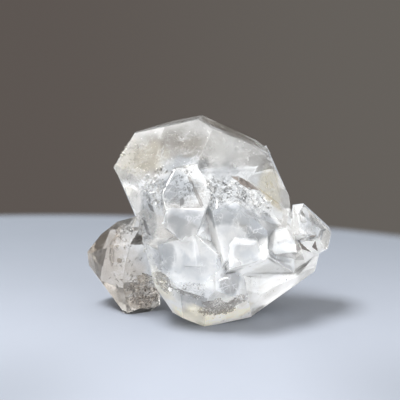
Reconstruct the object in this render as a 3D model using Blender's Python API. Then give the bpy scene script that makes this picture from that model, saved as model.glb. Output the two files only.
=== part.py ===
"""Herkimer diamond: a cluster of doubly terminated quartz crystals grown together.

Each crystal is the solid shut in by its own faces. A face is given as a crystallographer
measures it: the way that it looks, and how far it lies from the middle of its crystal.
The crystals share solid quartz where they meet, so they are joined in one solid.
"""

import math

import bmesh
import bpy
from mathutils import Vector

MM = 0.001

# The way from the growth frame, where the middles below are measured, to the part's own origin,
# which lies under the middle of the cluster's box.
TO_ORIGIN = Vector((-0.94, -8.83, -0.30))
# The lowest corners are worn flat up to this height, in millimetres of the growth frame.
WORN_HEIGHT = 0.3
# Half the side of the raw block that the faces are cut from.
BLOCK_HALF = 60.0
CUT_DISTANCE = 1e-7

QUARTZ_COLOUR = (0.78, 0.78, 0.75, 1.0)
QUARTZ_ROUGHNESS = 0.12

# Middles are in millimetres. A face is (turn, lift, reach): degrees to the right of straight
# ahead, which is -Y, degrees above level, and millimetres from the middle.
CRYSTALS = {
    "main": {
        "middle": (-0.2, 14.0, 31.2),
        "faces": {
            "broad left termination": (-17, 41, 15.5),
            "broad right termination": (33, 21, 12.2),
            "right prism": (42, 8, 12.6),
            "right flank": (86, 26, 18.1),
            "upper right": (81, 63, 15.9),
            "right shoulder": (80, 50, 16.6),
            "upper left": (-90, 77, 18.2),
            "left shoulder": (-89, 32, 22.4),
            "left flank": (-80, -22, 18.5),
            "front left prism": (-35, 0, 18.8),
            "front break": (-7, 28, 15.5),
            "back right termination": (177, 27, 10.9),
            "back left termination": (-147, 27, 14.9),
            "back prism": (172, -9, 11.4),
            "back left prism": (-128, -4, 16.0),
            "back right prism": (126, 6, 17.8),
            "back under": (-172, -43, 13.5),
            "right end": (93, 10, 21.3),
            "underside": (0, -79, 17.7),
        },
    },
    "foot": {
        "middle": (-3.9, 8.0, 12.6),
        "faces": {
            "left flank": (-87, 1, 11.8),
            "lower left flank": (-83, -14, 9.6),
            "left under": (-90, -31, 8.5),
            "keel left": (-90, -69, 10.4),
            "keel right": (90, -84, 12.9),
            "broad front": (-12, -4, 13.1),
            "front left strip": (-48, -6, 12.9),
            "front left under": (-38, -27, 11.0),
            "tip left": (-20, -30, 11.9),
            "tip right": (23, -32, 14.2),
            "front right": (39, -3, 15.3),
            "right end": (89, 10, 13.1),
            "top right": (70, 48, 13.2),
            "top": (-60, 66, 13.5),
            "back": (176, -10, 10.6),
            "back right": (132, -4, 12.4),
            "back left": (-130, -8, 11.2),
            "back under": (176, -52, 12.4),
        },
    },
    "right": {
        "middle": (17.5, 12.0, 9.6),
        "faces": {
            "lower edge": (84, -56, 4.7),
            "point": (78, -12, 9.4),
            "front": (30, -6, 6.4),
            "front under": (17, -33, 7.8),
            "right under": (41, -35, 4.9),
            "left end": (-89, -19, 9.8),
            "top": (145, 80, 7.6),
            "back right": (144, -4, 8.2),
            "back": (-176, 12, 8.6),
            "back under": (170, -42, 8.0),
        },
    },
    "ledge": {
        "middle": (10.4, 8.0, 23.6),
        "faces": {
            "upper left": (-15, 63, 13.0),
            "upper right": (57, 41, 8.1),
            "right shoulder": (76, 41, 7.6),
            "front": (15, 12, 12.1),
            "front right": (55, 6, 9.9),
            "left end": (-62, -8, 13.4),
            "front under": (20, -42, 12.7),
            "underside": (-7, -79, 11.9),
            "right end": (84, 2, 11.2),
            "back": (-174, 4, 7.5),
        },
    },
    "left": {
        "middle": (-19.8, 14.0, 10.9),
        "faces": {
            "upper left": (-51, 34, 8.0),
            "upper front": (-44, 31, 7.8),
            "front left": (-38, 7, 5.9),
            "front right": (25, -5, 6.0),
            "point under": (-45, -12, 5.8),
            "left under": (-56, -12, 6.8),
            "broken front": (8, -14, 7.4),
            "lower left": (-72, -33, 7.5),
            "underside": (-101, -71, 9.9),
            "lower right": (90, -61, 12.0),
            "point top": (-96, 38, 10.7),
            "top left": (-102, 51, 11.0),
            "top": (-112, 61, 11.9),
            "back": (172, 4, 8.6),
            "back left": (-138, 12, 8.8),
            "back top": (170, 52, 9.6),
            "back under": (178, -48, 9.4),
            "right end": (92, 0, 8.1),
        },
    },
    "button": {
        "middle": (17.8, 8.0, 19.0),
        "faces": {
            "front": (21, 21, 9.2),
            "top": (-22, 81, 6.7),
            "top right": (76, 32, 5.7),
            "right": (80, 15, 5.2),
            "underside": (20, -60, 4.8),
            "lower left": (-58, -46, 4.8),
            "left": (-81, -6, 5.1),
            "back": (180, 0, 5.0),
        },
    },
    "far right": {
        "middle": (26.1, 12.0, 21.4),
        "faces": {
            "upper right": (93, 47, 3.5),
            "right shoulder": (85, 27, 4.2),
            "right": (79, -10, 5.3),
            "lower right": (59, -53, 6.2),
            "front": (28, 25, 5.5),
            "top": (42, 71, 5.9),
            "top back": (-144, 75, 6.8),
            "upper front": (62, 48, 3.9),
            "front right": (60, 1, 4.6),
            "front under": (11, -38, 5.6),
            "underside": (-26, -76, 5.8),
            "left": (-96, 7, 5.1),
            "back": (165, 25, 7.0),
            "back under": (150, -25, 7.0),
        },
    },
    "front plate": {
        "middle": (9.4, 2.0, 18.3),
        "faces": {
            "front": (18, 10, 9.2),
            "top": (58, 82, 5.7),
            "right": (78, 19, 5.2),
            "underside": (37, -59, 4.2),
            "left": (-83, 4, 5.4),
            "top left": (-85, 42, 6.3),
            "back": (180, 0, 5.0),
        },
    },
    "front gem": {
        "middle": (-5.0, 2.0, 30.0),
        "faces": {
            "upper left": (-25, 41, 8.0),
            "upper middle": (-5, 26, 8.2),
            "upper right": (35, 37, 8.5),
            "front": (-5, 0, 8.6),
            "left": (-76, -5, 6.1),
            "lower right": (74, -20, 6.4),
            "right shoulder": (91, 35, 7.7),
            "right": (84, -7, 6.1),
            "top": (-100, 78, 9.4),
            "left shoulder": (-90, 28, 6.7),
            "underside": (0, -72, 9.1),
            "lower left": (-66, -43, 7.7),
            "back": (180, 0, 6.0),
        },
    },
}


def clear_scene():
    """Remove every object that the file opened with."""
    for scene_object in list(bpy.data.objects):
        bpy.data.objects.remove(scene_object, do_unlink=True)


def direction(turn, lift):
    """Return the unit vector that looks turn degrees right of -Y and lift degrees up."""
    turn_angle = math.radians(turn)
    lift_angle = math.radians(lift)
    level = math.cos(lift_angle)
    return Vector((math.sin(turn_angle) * level, -math.cos(turn_angle) * level, math.sin(lift_angle)))


def cut_face(crystal, point, outward):
    """Cut a convex crystal off flat at a point, and close the cut with one face."""
    geometry = crystal.verts[:] + crystal.edges[:] + crystal.faces[:]
    cut = bmesh.ops.bisect_plane(
        crystal,
        geom=geometry,
        dist=CUT_DISTANCE,
        plane_co=point,
        plane_no=outward,
        clear_outer=True,
    )
    rim = [item for item in cut["geom_cut"] if isinstance(item, bmesh.types.BMEdge)]
    if rim:
        bmesh.ops.holes_fill(crystal, edges=rim, sides=0)


def new_object(name, mesh):
    """Put a mesh in the scene as a new object."""
    made = bpy.data.objects.new(name, mesh)
    bpy.context.scene.collection.objects.link(made)
    return made


def make_crystal(name, middle, faces):
    """Model one crystal: a raw block cut down by each of its faces in turn."""
    crystal = bmesh.new()
    centre = (Vector(middle) + TO_ORIGIN) * MM
    bmesh.ops.create_cube(crystal, size=2 * BLOCK_HALF * MM)
    bmesh.ops.translate(crystal, vec=centre, verts=crystal.verts)
    for turn, lift, reach in faces.values():
        outward = direction(turn, lift)
        cut_face(crystal, centre + outward * reach * MM, outward)
    bmesh.ops.recalc_face_normals(crystal, faces=crystal.faces)
    mesh = bpy.data.meshes.new(name)
    crystal.to_mesh(mesh)
    crystal.free()
    return new_object(name, mesh)


def make_rest_slab():
    """Model the slab that takes the lowest corners off flat."""
    top = (WORN_HEIGHT + TO_ORIGIN.z) * MM
    slab = bmesh.new()
    bmesh.ops.create_cube(slab, size=2 * BLOCK_HALF * MM)
    bmesh.ops.translate(slab, vec=Vector((0.0, 0.0, top - BLOCK_HALF * MM)), verts=slab.verts)
    mesh = bpy.data.meshes.new("rest_slab")
    slab.to_mesh(mesh)
    slab.free()
    return new_object("rest_slab", mesh)


def combine(target, operand, operation):
    """Add a Boolean modifier to the target and mark its operand as a guide."""
    modifier = target.modifiers.new(operand.name, "BOOLEAN")
    modifier.operation = operation
    modifier.solver = "EXACT"
    modifier.object = operand
    operand.hide_render = True
    operand.display_type = "WIRE"


def quartz_material():
    """Make the pale, glassy material of the cluster."""
    material = bpy.data.materials.new("quartz")
    material.use_nodes = True
    shader = material.node_tree.nodes["Principled BSDF"]
    shader.inputs["Base Color"].default_value = QUARTZ_COLOUR
    shader.inputs["Roughness"].default_value = QUARTZ_ROUGHNESS
    shader.inputs["Metallic"].default_value = 0.0
    material.diffuse_color = QUARTZ_COLOUR
    return material


def main():
    """Grow the crystals, join them in one solid and wear its feet flat."""
    clear_scene()
    cluster = None
    for name, crystal in CRYSTALS.items():
        grown = make_crystal(name.replace(" ", "_") + "_crystal", crystal["middle"], crystal["faces"])
        if cluster is None:
            cluster = grown
            cluster.name = "quartz_cluster"
            cluster.data.materials.append(quartz_material())
        else:
            combine(cluster, grown, "UNION")
    combine(cluster, make_rest_slab(), "DIFFERENCE")


main()
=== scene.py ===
"""A herkimer diamond cluster: clear, milky and smoky quartz crystals grown together, on a pale table."""
import logging
import math
import random
from collections.abc import Callable
from dataclasses import dataclass, field
from enum import Enum

import bmesh
import bpy
from mathutils import Matrix, Vector, noise
from mathutils.bvhtree import BVHTree


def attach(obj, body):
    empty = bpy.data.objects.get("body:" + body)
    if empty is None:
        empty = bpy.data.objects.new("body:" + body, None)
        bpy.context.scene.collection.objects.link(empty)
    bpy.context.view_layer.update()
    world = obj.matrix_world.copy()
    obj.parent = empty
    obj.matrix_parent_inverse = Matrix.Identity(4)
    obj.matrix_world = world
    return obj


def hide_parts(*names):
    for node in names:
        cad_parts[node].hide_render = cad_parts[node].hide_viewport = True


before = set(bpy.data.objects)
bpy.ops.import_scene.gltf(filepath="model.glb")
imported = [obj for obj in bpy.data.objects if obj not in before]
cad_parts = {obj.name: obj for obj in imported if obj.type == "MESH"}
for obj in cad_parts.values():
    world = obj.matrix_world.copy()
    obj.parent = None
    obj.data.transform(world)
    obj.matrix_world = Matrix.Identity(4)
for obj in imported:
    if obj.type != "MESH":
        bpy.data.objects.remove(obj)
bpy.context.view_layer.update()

LOG = logging.getLogger("herkimer")
MM = 0.001
BODY = "root"
CAD_NODE = "quartz_cluster"
QUARTZ_IOR = 1.544
WHITE = (1.0, 1.0, 1.0)
BLACK = (0.0, 0.0, 0.0)
Colour = tuple[float, float, float]
Point = tuple[float, float, float]
Piece = bpy.types.Object
Socket = bpy.types.NodeSocket


# ---------------------------------------------------------------- working by hand, in code


def deselect_all() -> None:
    """Leaves object mode with nothing selected."""
    if bpy.context.mode != "OBJECT":
        bpy.ops.object.mode_set(mode="OBJECT")
    bpy.ops.object.select_all(action="DESELECT")


def make_active(piece: Piece) -> None:
    """Selects one piece, and only that piece.

    Args:
        piece: the piece.
    """
    deselect_all()
    piece.select_set(True)
    bpy.context.view_layer.objects.active = piece


def start_editing(piece: Piece, kind: str) -> None:
    """Opens a piece in edit mode.

    Args:
        piece: the piece.
        kind: what is selected in it: "VERT", "EDGE" or "FACE".
    """
    make_active(piece)
    bpy.ops.object.mode_set(mode="EDIT")
    bpy.ops.mesh.select_mode(type=kind)


def pick(piece: Piece, kind: str, test: Callable[[object], bool]) -> int:
    """Selects parts of a piece that is in edit mode.

    Args:
        piece: the piece.
        kind: "edges" or "faces".
        test: says whether an edge or a face is selected.

    Returns:
        How many are selected.
    """
    mesh = bmesh.from_edit_mesh(piece.data)
    count = 0
    for part in getattr(mesh, kind):
        chosen = test(part)
        part.select_set(chosen)
        count += chosen
    bmesh.update_edit_mesh(piece.data)
    return count


def middle_of(edge: bmesh.types.BMEdge) -> Vector:
    """Gives an edge's middle."""
    return (edge.verts[0].co + edge.verts[1].co) / 2


def cut_to_triangles() -> None:
    """Cuts everything that is being edited into triangles."""
    bpy.ops.mesh.select_all(action="SELECT")
    bpy.ops.mesh.quads_convert_to_tris(quad_method="BEAUTY", ngon_method="BEAUTY")


def cut_small(piece: Piece, limit: Callable[[Vector], float], rounds: int, even: bool = False) -> None:
    """Cuts a piece that is in edit mode into small triangles.

    Args:
        piece: the piece.
        limit: gives the longest edge that is left round a place.
        rounds: how many times its edges may be halved.
        even: turns edges within flat facets after each round, for better triangles.
    """
    bpy.ops.mesh.select_mode(type="EDGE")
    cut_to_triangles()
    for _ in range(rounds):
        if not pick(piece, "edges", lambda edge: edge.calc_length() > limit(middle_of(edge))):
            break
        bpy.ops.mesh.subdivide(number_cuts=1, quadcorner="INNERVERT")
        cut_to_triangles()
        if even:
            bpy.ops.mesh.beautify_fill(angle_limit=math.radians(0.5))


def new_texture(name: str, kind: str, size: float) -> bpy.types.Texture:
    """Makes a texture for displacing.

    Args:
        name: its name.
        kind: its type, such as "CLOUDS".
        size: how large its lumps are, in metres.

    Returns:
        The texture.
    """
    texture = bpy.data.textures.new(name, kind)
    texture.noise_scale = size
    return texture


def displace(piece: Piece, texture: bpy.types.Texture, strength: float, **settings: object) -> None:
    """Moves a piece's skin in and out.

    Args:
        piece: the piece.
        texture: how far each place moves.
        strength: the full travel, in metres.
        settings: the modifier's other properties, by name.
    """
    make_active(piece)
    move = piece.modifiers.new("displace", "DISPLACE")
    move.texture = texture
    move.texture_coords = "LOCAL"
    move.strength = strength
    for name, value in settings.items():
        setattr(move, name, value)
    bpy.ops.object.modifier_apply(modifier=move.name)


def copy_part(pattern: Piece, placing: Matrix) -> Piece:
    """Copies a pattern, with its own mesh, and puts the copy in its place.

    Args:
        pattern: the part that is copied.
        placing: where the copy goes, applied to its mesh.

    Returns:
        The copy.
    """
    copy = pattern.copy()
    copy.data = pattern.data.copy()
    copy.data.transform(placing)
    bpy.context.scene.collection.objects.link(copy)
    return copy


def join_parts(parts: list[Piece], name: str, *materials: bpy.types.Material) -> Piece:
    """Joins parts into one object.

    Args:
        parts: the parts, each with its place in its own mesh.
        name: the name of the result.
        materials: its materials, in order.

    Returns:
        The one object.
    """
    make_active(parts[0])
    for part in parts:
        part.select_set(True)
    bpy.ops.object.join()
    joined = bpy.context.object
    joined.name = name
    joined.data.materials.clear()
    for material in materials:
        joined.data.materials.append(material)
    return joined


def join_pieces(parts: list[Piece], name: str, material: bpy.types.Material) -> Piece:
    """Joins parts into one piece of the cluster, with one material, which rides on the body.

    Args:
        parts: the parts, each with its place in its own mesh.
        name: the piece's name.
        material: its material.

    Returns:
        The piece.
    """
    piece = join_parts(parts, name, material)
    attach(piece, BODY)
    return piece


def turn_to(way: Vector) -> Matrix:
    """Turns the upright axis to a direction."""
    return way.to_track_quat("Z", "Y").to_matrix().to_4x4()


def any_spin(draw: random.Random) -> Matrix:
    """Turns by any angle round the upright axis."""
    return Matrix.Rotation(draw.uniform(0, math.tau), 4, "Z")


def any_lean(draw: random.Random, amount: float) -> Vector:
    """Gives a random sideways push, for a direction."""
    return Vector([draw.gauss(0.0, amount) for _ in range(3)])


class NodeDesk:
    """Puts nodes into one tree and joins them."""

    def __init__(self, tree: bpy.types.NodeTree) -> None:
        """Starts on a tree."""
        self.tree = tree
        self.count = 0

    def add(self, kind: str, **settings: object) -> bpy.types.Node:
        """Adds a node.

        Args:
            kind: the node's type, such as "ShaderNodeTexNoise".
            settings: its own properties, by name.

        Returns:
            The new node.
        """
        node = self.tree.nodes.new(kind)
        node.location = (180 * self.count, -60 * (self.count % 5))
        self.count += 1
        for name, value in settings.items():
            setattr(node, name, value)
        return node

    def put(self, socket: Socket, value: object) -> None:
        """Joins an output socket to an input socket, or sets the input to a plain value.

        Args:
            socket: the input.
            value: a plain value or an output socket.
        """
        if isinstance(value, Socket):
            self.tree.links.new(value, socket)
        elif socket.type == "RGBA" and isinstance(value, tuple):
            socket.default_value = (*value, 1.0)
        else:
            socket.default_value = value

    def feed(self, node: bpy.types.Node, **values: object) -> bpy.types.Node:
        """Sets or joins a node's inputs.

        Args:
            node: the node whose inputs are fed.
            values: input name, with _ for a space, to a plain value or an output socket.

        Returns:
            The same node.
        """
        for name, value in values.items():
            self.put(node.inputs[name.replace("_", " ")], value)
        return node

    def math(self, operation: str, *values: object) -> Socket:
        """One step of arithmetic on numbers or output sockets.

        Args:
            operation: the step, such as "MULTIPLY".
            values: numbers or output sockets.

        Returns:
            The result's output socket.
        """
        node = self.add("ShaderNodeMath", operation=operation)
        for socket, value in zip(node.inputs, values):
            self.put(socket, value)
        return node.outputs[0]

    def vector(self, operation: str, *values: object) -> Socket:
        """One step of arithmetic on vectors.

        Args:
            operation: the step, such as "SUBTRACT".
            values: vectors or output sockets.

        Returns:
            The result's output socket: a vector, or a number for a length or a product.
        """
        node = self.add("ShaderNodeVectorMath", operation=operation)
        for socket, value in zip(node.inputs, values):
            self.put(socket, value)
        return node.outputs["Value" if operation in ("LENGTH", "DISTANCE", "DOT_PRODUCT") else "Vector"]

    def noise(self, where: Socket, scale: float, detail: float, **more: float) -> bpy.types.Node:
        """Adds a noise texture."""
        return self.feed(self.add("ShaderNodeTexNoise"), Vector=where, Scale=scale, Detail=detail, **more)

    def cells(self, where: Socket, scale: float, **settings: str) -> bpy.types.Node:
        """Adds a texture of cells."""
        return self.feed(self.add("ShaderNodeTexVoronoi", **settings), Vector=where, Scale=scale)

    def first_channel(self, colour: Socket) -> Socket:
        """Takes one number out of a colour."""
        return self.feed(self.add("ShaderNodeSeparateColor"), Color=colour).outputs[0]

    def ramp(self, value: Socket, low: float, high: float, to: tuple[float, float] = (0.0, 1.0)) -> Socket:
        """Turns a value's range into another, smoothly and with clamped ends.

        Args:
            value: the value.
            low: the value that gives the first end.
            high: the value that gives the second end.
            to: both ends.

        Returns:
            The result's output socket.
        """
        node = self.add("ShaderNodeMapRange", interpolation_type="SMOOTHSTEP")
        self.feed(node, Value=value, From_Min=low, From_Max=high, To_Min=to[0], To_Max=to[1])
        return node.outputs["Result"]

    def mix(self, mask: object, first: object, second: object, blend: str = "MIX") -> Socket:
        """Mixes two colours.

        Args:
            mask: how much of the second there is.
            first: the colour or socket where the mask is 0.
            second: the colour or socket where the mask is 1.
            blend: how the second is laid on the first.

        Returns:
            The mixed colour's output socket.
        """
        node = self.add("ShaderNodeMix", data_type="RGBA", blend_type=blend)
        for index, value in ((0, mask), (6, first), (7, second)):
            self.put(node.inputs[index], value)
        return node.outputs[2]


def new_material(name: str) -> tuple[bpy.types.Material, NodeDesk, bpy.types.Node, Socket]:
    """Makes a plain material.

    Args:
        name: its name.

    Returns:
        The material, its nodes, its shader and its Object coordinates.
    """
    material = bpy.data.materials.new(name)
    material.use_nodes = True
    desk = NodeDesk(material.node_tree)
    where = desk.add("ShaderNodeTexCoord").outputs["Object"]
    return material, desk, material.node_tree.nodes["Principled BSDF"], where


# ---------------------------------------------------------------- the table, the room and the camera


@dataclass(frozen=True)
class Light:
    """A round patch of light in the room: its direction, the cosines at its edge and core, and its tone."""

    towards: Point
    edge: float
    core: float
    tone: Colour

    def shine(self, desk: NodeDesk, way: Socket, room: Socket) -> Socket:
        """Lays the light on the room's colour, and gives the new colour."""
        aim = desk.vector("DOT_PRODUCT", way, tuple(Vector(self.towards).normalized()))
        return desk.mix(desk.ramp(aim, self.edge, self.core), room, self.tone)


@dataclass
class Studio:
    """The pale round table, the soft room light and the camera.

    A band holds where a change of tone starts and where it ends: on the table in metres, and in the
    room as a part of the unit direction.
    """

    table_middle: tuple[float, float] = (-56 * MM, -131 * MM)
    table_radius: float = 250 * MM
    rim_fade: float = 14 * MM
    # Painted shade: the table's tone darkens from near to far and at its near corners, as light falls off.
    table_near: Colour = (0.250, 0.270, 0.314)
    table_far_painted_shade: Colour = (0.150, 0.168, 0.198)
    table_corners_painted_shade: Colour = (0.200, 0.218, 0.252)
    # Painted bounce light: the brighter tone that all rays but the camera's see on the table.
    table_painted_bounce: Colour = (0.34, 0.36, 0.39)
    table_depth: tuple[float, float] = (-60 * MM, 110 * MM)
    corner_aside: tuple[float, float] = (12 * MM, 44 * MM)
    corner_near: tuple[float, float] = (-8 * MM, -52 * MM)
    speckle: float = 0.10
    camera_place: Point = (-2.40 * MM, -240.48 * MM, 80.54 * MM)
    camera_pitch: float = 12.0
    lens: float = 90.0
    wall_left: Colour = (0.110, 0.094, 0.085)
    wall_right: Colour = (0.132, 0.120, 0.108)
    lamp_place: Point = (-0.21, -0.07, 0.66)
    lamp_size: float = 0.30
    lamp_power: float = 9.6
    walls: Colour = (0.455, 0.44, 0.42)
    ceiling: Colour = (0.99, 0.98, 0.95)
    dim_wall: Colour = (0.14, 0.127, 0.117)
    floor: Colour = (0.50, 0.53, 0.58)
    ceiling_band: tuple[float, float] = (0.30, 0.80)
    dim_behind: tuple[float, float] = (0.40, 0.85)
    dim_below: tuple[float, float] = (0.48, 0.20)
    floor_band: tuple[float, float] = (0.02, -0.05)
    wall_band: tuple[float, float] = (-0.20, 0.20)
    room_lights: tuple[Light, ...] = (
        Light((0.05, -0.92, 0.38), 0.35, 0.85, (1.25, 1.24, 1.22)),
        Light((-0.85, -0.50, 0.10), 0.75, 0.95, (1.25, 1.25, 1.25)),
    )
    strong_lights: tuple[Light, ...] = (
        Light((0.32, -0.95, -0.02), 0.74, 0.95, (2.3, 2.3, 2.3)),
        Light((0.677, -0.607, 0.402), 0.93, 0.965, (3.6, 3.6, 3.6)),
    )

    def make_camera(self) -> None:
        """Puts the camera in front of the cluster, looking a little down."""
        data = bpy.data.cameras.new("camera")
        data.lens = self.lens
        data.sensor_width = 36.0
        data.clip_start = 0.005
        camera = bpy.data.objects.new("camera", data)
        camera.location = self.camera_place
        camera.rotation_euler = (math.radians(90.0 - self.camera_pitch), 0.0, 0.0)
        bpy.context.scene.collection.objects.link(camera)
        bpy.context.scene.camera = camera

    def make_table(self) -> None:
        """Makes the table's round top, whose rim melts into the room. Its tone darkens towards the back and
        at the near corners: painted shade, for light that falls off. Rays other than the camera's see a
        brighter tone: painted bounce light.
        """
        deselect_all()
        bpy.ops.mesh.primitive_circle_add(
            vertices=128, radius=self.table_radius, fill_type="NGON", location=(*self.table_middle, 0.0)
        )
        bpy.ops.object.transform_apply(location=True, rotation=True, scale=True)
        table = bpy.context.object
        table.name = "table"
        material, desk, shader, where = new_material("table top")
        out = desk.vector("DISTANCE", where, (*self.table_middle, 0.0))
        fade = desk.ramp(out, self.table_radius - self.rim_fade, self.table_radius, (1.0, 0.0))
        split = desk.feed(desk.add("ShaderNodeSeparateXYZ"), Vector=where).outputs
        depth = desk.ramp(split["Y"], *self.table_depth)
        cloud = desk.noise(where, 60.0, 3.0).outputs["Fac"]
        speckle = desk.math("MULTIPLY_ADD", cloud, self.speckle, -self.speckle / 2)
        # painted shade: darker towards the back, then darker again at the near corners
        seen = desk.mix(desk.math("ADD", depth, speckle), self.table_near, self.table_far_painted_shade)
        beside = desk.ramp(desk.math("ABSOLUTE", split["X"]), *self.corner_aside)
        near = desk.ramp(split["Y"], *self.corner_near)
        seen = desk.mix(desk.math("MULTIPLY", beside, near), seen, self.table_corners_painted_shade)
        # Painted bounce light: the camera sees the table's own tone, every other ray a brighter one.
        direct = desk.add("ShaderNodeLightPath").outputs["Is Camera Ray"]
        tone = desk.mix(direct, self.table_painted_bounce, seen)
        desk.feed(shader, Base_Color=tone, Roughness=0.55, Alpha=fade)
        table.data.materials.append(material)

    def make_room(self) -> None:
        """Makes the soft light of a bright room with one dim wall, as the world around the table."""
        world = bpy.data.worlds.new("room")
        bpy.context.scene.world = world
        world.use_nodes = True
        world.node_tree.nodes.clear()
        desk = NodeDesk(world.node_tree)
        way = desk.add("ShaderNodeTexCoord").outputs["Generated"]
        split = desk.feed(desk.add("ShaderNodeSeparateXYZ"), Vector=way).outputs
        room = desk.mix(desk.ramp(split["Z"], *self.ceiling_band), self.walls, self.ceiling)
        for light in self.room_lights:
            room = light.shine(desk, way, room)
        behind = desk.ramp(split["Y"], *self.dim_behind)
        below = desk.ramp(split["Z"], *self.dim_below)
        room = desk.mix(desk.math("MULTIPLY", behind, below), room, self.dim_wall)
        room = desk.mix(desk.ramp(split["Z"], *self.floor_band), room, self.floor)
        for light in self.strong_lights:
            room = light.shine(desk, way, room)
        wall = desk.mix(desk.ramp(split["X"], *self.wall_band), self.wall_left, self.wall_right)
        mix = desk.add("ShaderNodeMixShader")
        desk.put(mix.inputs[0], desk.add("ShaderNodeLightPath").outputs["Is Camera Ray"])
        for index, colour in ((1, room), (2, wall)):
            light = desk.feed(desk.add("ShaderNodeBackground"), Color=colour, Strength=1.0)
            desk.put(mix.inputs[index], light.outputs[0])
        desk.feed(desk.add("ShaderNodeOutputWorld"), Surface=mix.outputs[0])

    def make_lamp(self) -> None:
        """Hangs a wide soft lamp over the table, for the shadows under the crystals."""
        data = bpy.data.lights.new("overhead lamp", "AREA")
        data.shape = "DISK"
        data.size = self.lamp_size
        data.energy = self.lamp_power
        lamp = bpy.data.objects.new("overhead lamp", data)
        lamp.location = self.lamp_place
        lamp.visible_transmission = False
        lamp.visible_glossy = False
        lamp.visible_camera = False
        bpy.context.scene.collection.objects.link(lamp)

    def build(self) -> None:
        """Makes the table, the room, the lamp and the camera."""
        self.make_camera()
        self.make_lamp()
        self.make_table()
        self.make_room()
        scene = bpy.context.scene
        scene.view_settings.view_transform = "Standard"
        scene.cycles.max_bounces = 16
        scene.cycles.transmission_bounces = 14
        scene.cycles.transparent_max_bounces = 16


# ---------------------------------------------------------------- places and shared effects


@dataclass(frozen=True)
class Patch:
    """An egg-shaped region of the cluster with a soft edge, in millimetres."""

    middle: Point
    reach: Point
    strength: float = 1.0
    soft_edge: float = 0.35

    def share(self, place: Vector, ragged: float = 0.0) -> float:
        """Says how far inside the patch a place is.

        Args:
            place: the place, in metres.
            ragged: how much further out the place counts, as a share of the reach.

        Returns:
            0 outside, rising to the patch's strength in its middle part.
        """
        offset = [(place[i] / MM - self.middle[i]) / self.reach[i] for i in range(3)]
        away = math.sqrt(sum(value * value for value in offset)) + ragged
        return min(1.0, max(0.0, (1.0 - away) / self.soft_edge)) * self.strength

    def any_place(self, draw: random.Random, spread: float = 1.0) -> Vector:
        """Gives a random place in the box round the patch, in metres."""
        aside = [draw.uniform(-1, 1) * reach * spread for reach in self.reach]
        return Vector([(middle + move) * MM for middle, move in zip(self.middle, aside)])


BARE_SPOT = Patch((8.8, -3.3, 34.4), (4.4, 3.6, 2.2))


def raggedness(place: Vector) -> float:
    """Gives the uneven outline of a broken patch, as a share of its reach."""
    broad = noise.noise(place * (0.45 / MM))
    return 0.42 * broad + 0.22 * noise.noise(place * (1.5 / MM))


def new_group(name: str, vectors: str, values: str, results: str) -> tuple[NodeDesk, object, object]:
    """Makes a node group for an effect that several materials use.

    Args:
        name: the group's name.
        vectors: the names of its vector inputs.
        values: the names of its number inputs.
        results: the names of its number outputs.

    Returns:
        Its nodes, its inputs and its outputs.
    """
    group = bpy.data.node_groups.new(name, "ShaderNodeTree")
    ports = ((vectors, "INPUT", "Vector"), (values, "INPUT", "Float"), (results, "OUTPUT", "Float"))
    for names, in_out, kind in ports:
        for socket in names.split():
            group.interface.new_socket(name=socket, in_out=in_out, socket_type=f"NodeSocket{kind}")
    desk = NodeDesk(group)
    return desk, desk.add("NodeGroupInput").outputs, desk.add("NodeGroupOutput").inputs


def soft_patch_group() -> bpy.types.NodeTree:
    """Makes the shared group that marks an egg-shaped region.

    Returns:
        The group, with the inputs Place, Middle, Reach and Strength and the output Mask.
    """
    name = "soft patch"
    if name not in bpy.data.node_groups:
        desk, given, out = new_group(name, "Place Middle Reach", "Strength", "Mask")
        offset = desk.vector("SUBTRACT", given["Place"], given["Middle"])
        away = desk.vector("LENGTH", desk.vector("DIVIDE", offset, given["Reach"]))
        desk.put(out["Mask"], desk.math("MULTIPLY", desk.ramp(away, 1.0, 0.55), given["Strength"]))
    return bpy.data.node_groups[name]


def patch_mask(desk: NodeDesk, place: Socket, patches: tuple[Patch, ...]) -> Socket:
    """Joins several soft patches into one mask.

    Args:
        desk: the material's nodes.
        place: the position's socket.
        patches: the regions.

    Returns:
        The mask's output socket.
    """
    total: object = 0.0
    for patch in patches:
        middle, reach = (tuple(value * MM for value in sizes) for sizes in (patch.middle, patch.reach))
        node = desk.add("ShaderNodeGroup", node_tree=soft_patch_group())
        desk.feed(node, Place=place, Middle=middle, Reach=reach, Strength=patch.strength)
        total = desk.math("MAXIMUM", total, node.outputs["Mask"])
    return total


def growth_relief_group() -> bpy.types.NodeTree:
    """Makes the shared group for the fine relief of a grown or broken face.

    Returns:
        The group, with the inputs Place, Swell, Lines, Grain and Steps and the output Height, in metres.
    """
    name = "growth relief"
    if name not in bpy.data.node_groups:
        desk, given, out = new_group(name, "Place", "Swell Lines Grain Steps", "Height")
        place = given["Place"]
        turned = desk.feed(desk.add("ShaderNodeMapping"), Vector=place, Rotation=(0.3, 0.5, 0.2)).outputs[0]
        waves = desk.add("ShaderNodeTexWave", bands_direction="Z")
        desk.feed(waves, Vector=turned, Scale=190.0, Distortion=3.0, Detail=2.0)
        swell = desk.math("MULTIPLY", desk.noise(place, 150.0, 2.0).outputs["Fac"], given["Swell"])
        lines = desk.math("MULTIPLY", waves.outputs["Fac"], given["Lines"])
        pits = desk.cells(place, 420.0, feature="F1", distance="MANHATTAN").outputs["Distance"]
        grit = desk.math("ADD", desk.noise(place, 1500.0, 3.0).outputs["Fac"], pits)
        grain = desk.math("MULTIPLY", grit, given["Grain"])
        plates = desk.cells(turned, 150.0, feature="F1", distance="MANHATTAN").outputs["Color"]
        lesser = desk.cells(turned, 420.0, feature="F1", distance="EUCLIDEAN").outputs["Color"]
        stack = desk.math("MULTIPLY_ADD", desk.first_channel(lesser), 0.35, desk.first_channel(plates))
        steps = desk.math("MULTIPLY", stack, given["Steps"])
        total = desk.math("ADD", desk.math("ADD", desk.math("ADD", swell, lines), grain), steps)
        desk.put(out["Height"], total)
    return bpy.data.node_groups[name]


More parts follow.
